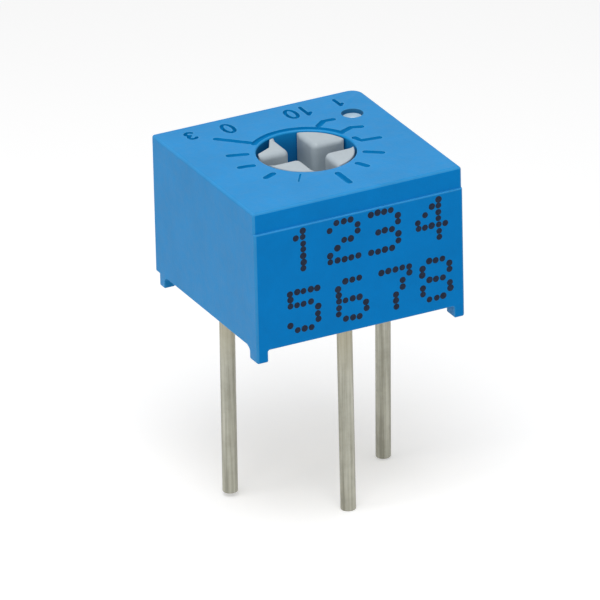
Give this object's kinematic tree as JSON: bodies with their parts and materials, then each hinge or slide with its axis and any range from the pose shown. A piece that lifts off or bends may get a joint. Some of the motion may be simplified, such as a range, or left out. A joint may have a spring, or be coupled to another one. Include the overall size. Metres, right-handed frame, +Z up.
{
  "type": "trimmer potentiometer",
  "caption": "Small square board-mounted variable resistor: moulded case on corner feet, slotted rotor with pointer notch in a marked dial, and straight round leads in a triangle.",
  "frame": {"origin": "on the rotor's axis, in the seating plane under the case's feet", "axes": "+Z up out of the slotted face, the leads point to -Z; +X to the right of the printed front face, -Y out of that face"},
  "size_m": [0.0068, 0.0066, 0.0105],
  "materials": {
    "case_blue": "satin",
    "rotor_grey": "satin",
    "seal_rubber": "matte",
    "spring_metal": "satin",
    "ceramic": "matte",
    "cermet_ink": "matte",
    "conductor_ink": "satin",
    "tinned_lead": "satin",
    "solder": "bright",
    "potting_resin": "smooth"
  },
  "bodies": {
    "case": {"housing": "case_blue", "substrate": "ceramic", "resistive_track": "cermet_ink", "end_pad_1": "conductor_ink", "end_pad_3": "conductor_ink", "collector": "conductor_ink", "pin_1": "tinned_lead", "pin_2": "tinned_lead", "pin_3": "tinned_lead", "solder_1": "solder", "solder_2": "solder", "solder_3": "solder", "potting": "potting_resin"},
    "adjuster": {"rotor": "rotor_grey", "shaft_seal": "seal_rubber", "wiper": "spring_metal"}
  },
  "joints": [
    {"name": "adjuster_turn", "type": "hinge", "parent": "case", "child": "adjuster", "pos_m": [0, 0, 0], "axis": [0, 0, 1], "range_deg": [0, 270]}
  ]
}
